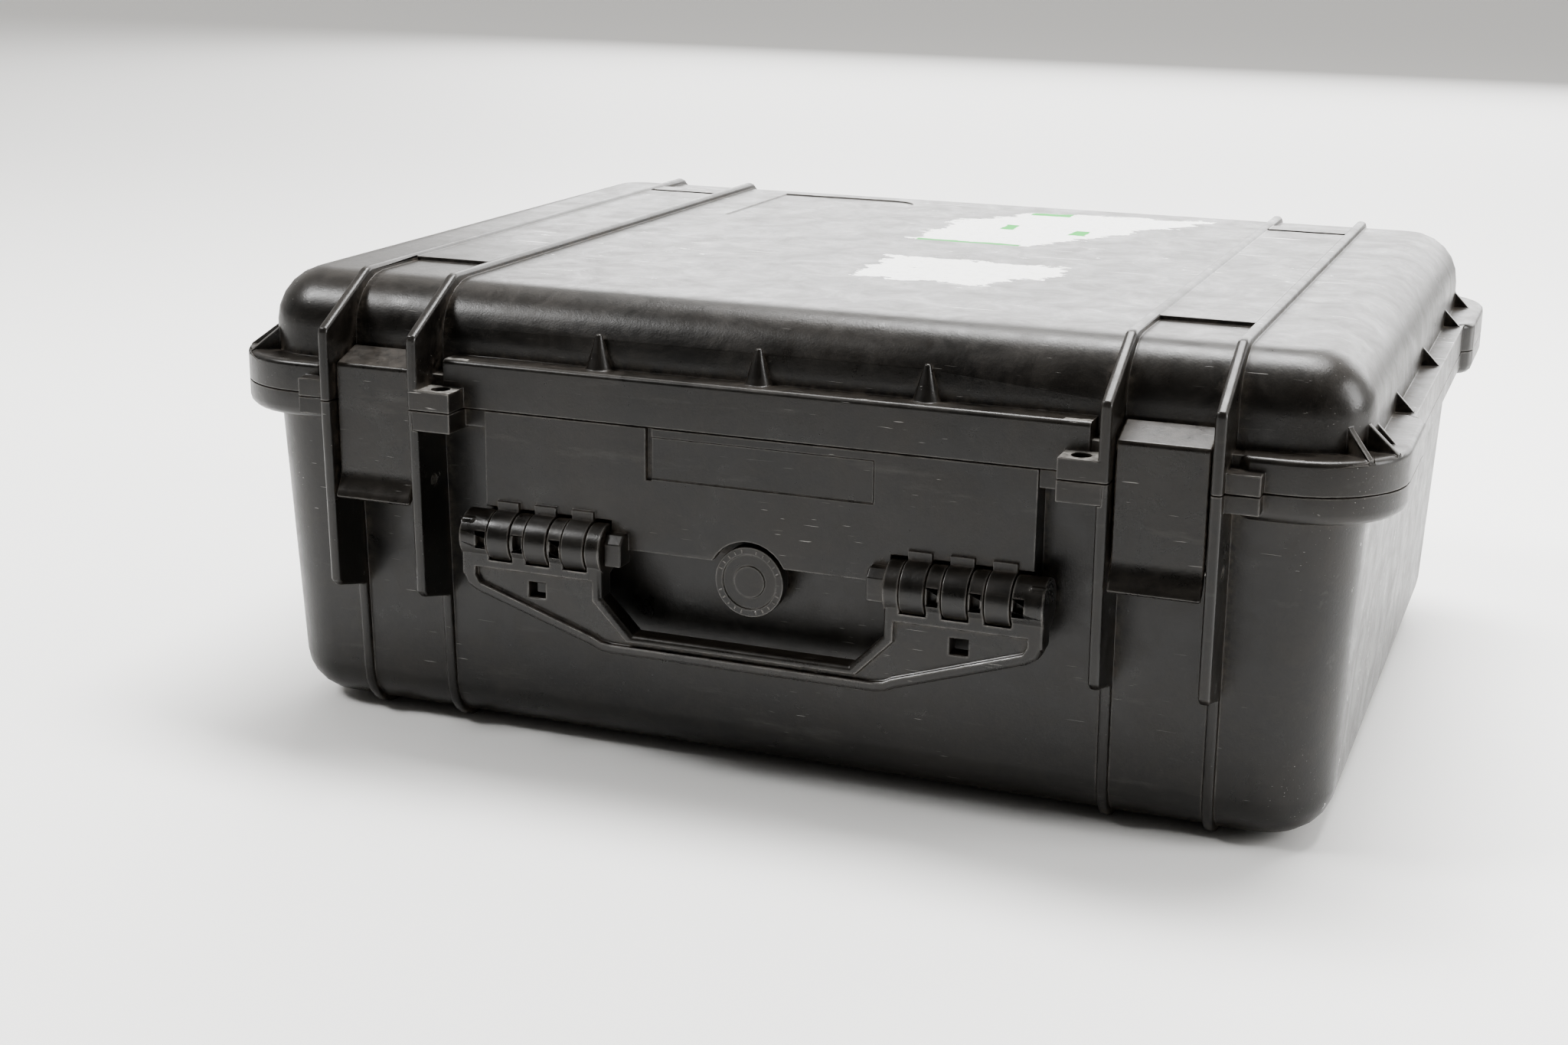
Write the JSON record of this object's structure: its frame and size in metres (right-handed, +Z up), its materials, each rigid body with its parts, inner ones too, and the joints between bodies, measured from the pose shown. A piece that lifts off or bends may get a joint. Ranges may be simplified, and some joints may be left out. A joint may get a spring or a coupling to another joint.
{
  "type": "hard equipment case",
  "caption": "Moulded hard carrying case with a hinged lid, front toggle latches, folding front handle, purge valve and a foam lining.",
  "frame": {"origin": "middle of the rest plane, under the middle of the closed case", "axes": "+X to the right along the width, the latches and handle face -Y, +Z up out of the lid"},
  "size_m": [0.525, 0.4329, 0.21],
  "materials": {
    "shell_plastic": "satin",
    "latch_plastic": "satin",
    "handle_plastic": "satin",
    "valve_plastic": "satin",
    "pin_steel": "satin",
    "seal_rubber": "matte",
    "foam": "matte"
  },
  "bodies": {
    "base": {"base_shell": "shell_plastic", "hinge_pin_left": "pin_steel", "hinge_pin_right": "pin_steel", "latch_base_pin_left": "pin_steel", "latch_base_pin_right": "pin_steel", "handle_pin_left": "pin_steel", "handle_pin_right": "pin_steel", "valve_body": "valve_plastic", "valve_nut": "valve_plastic", "valve_o_ring": "seal_rubber", "foam_base_pad": "foam", "foam_lower_layer": "foam", "foam_upper_layer": "foam"},
    "lid": {"lid_shell": "shell_plastic", "lid_seal": "seal_rubber", "foam_lid_pad": "foam"},
    "handle": {"handle": "handle_plastic"},
    "valve_knob": {"valve_knob": "valve_plastic"},
    "latch_link_left": {"latch_link_left": "latch_plastic"},
    "latch_lever_left": {"latch_lever_left": "latch_plastic", "latch_lever_pin_left": "pin_steel"},
    "latch_link_right": {"latch_link_right": "latch_plastic"},
    "latch_lever_right": {"latch_lever_right": "latch_plastic", "latch_lever_pin_right": "pin_steel"}
  },
  "joints": [
    {"name": "lid_hinge", "type": "hinge", "parent": "base", "child": "lid", "pos_m": [0, 0.21, 0.156], "axis": [-1, 0, 0], "range_deg": [0, 100]},
    {"name": "handle_swing", "type": "hinge", "parent": "base", "child": "handle", "pos_m": [0, -0.205, 0.101], "axis": [-1, 0, 0], "range_deg": [0, 95]},
    {"name": "valve_turn", "type": "hinge", "parent": "base", "child": "valve_knob", "pos_m": [0, -0.2019, 0.093], "axis": [0, -1, 0], "range_deg": [0, 270]},
    {"name": "latch_swing_left", "type": "hinge", "parent": "base", "child": "latch_link_left", "pos_m": [-0.1745, -0.203, 0.122], "axis": [1, 0, 0], "range_deg": [0, 120]},
    {"name": "latch_lever_left", "type": "hinge", "parent": "latch_link_left", "child": "latch_lever_left", "pos_m": [-0.1745, -0.202, 0.141], "axis": [1, 0, 0], "range_deg": [-30, 0]},
    {"name": "latch_swing_right", "type": "hinge", "parent": "base", "child": "latch_link_right", "pos_m": [0.1745, -0.203, 0.122], "axis": [1, 0, 0], "range_deg": [0, 120]},
    {"name": "latch_lever_right", "type": "hinge", "parent": "latch_link_right", "child": "latch_lever_right", "pos_m": [0.1745, -0.202, 0.141], "axis": [1, 0, 0], "range_deg": [-30, 0]}
  ],
  "couplings": [
    {"joint": "latch_lever_left", "follows": "latch_swing_left", "ratio": -0.25},
    {"joint": "latch_lever_right", "follows": "latch_swing_right", "ratio": -0.25}
  ]
}
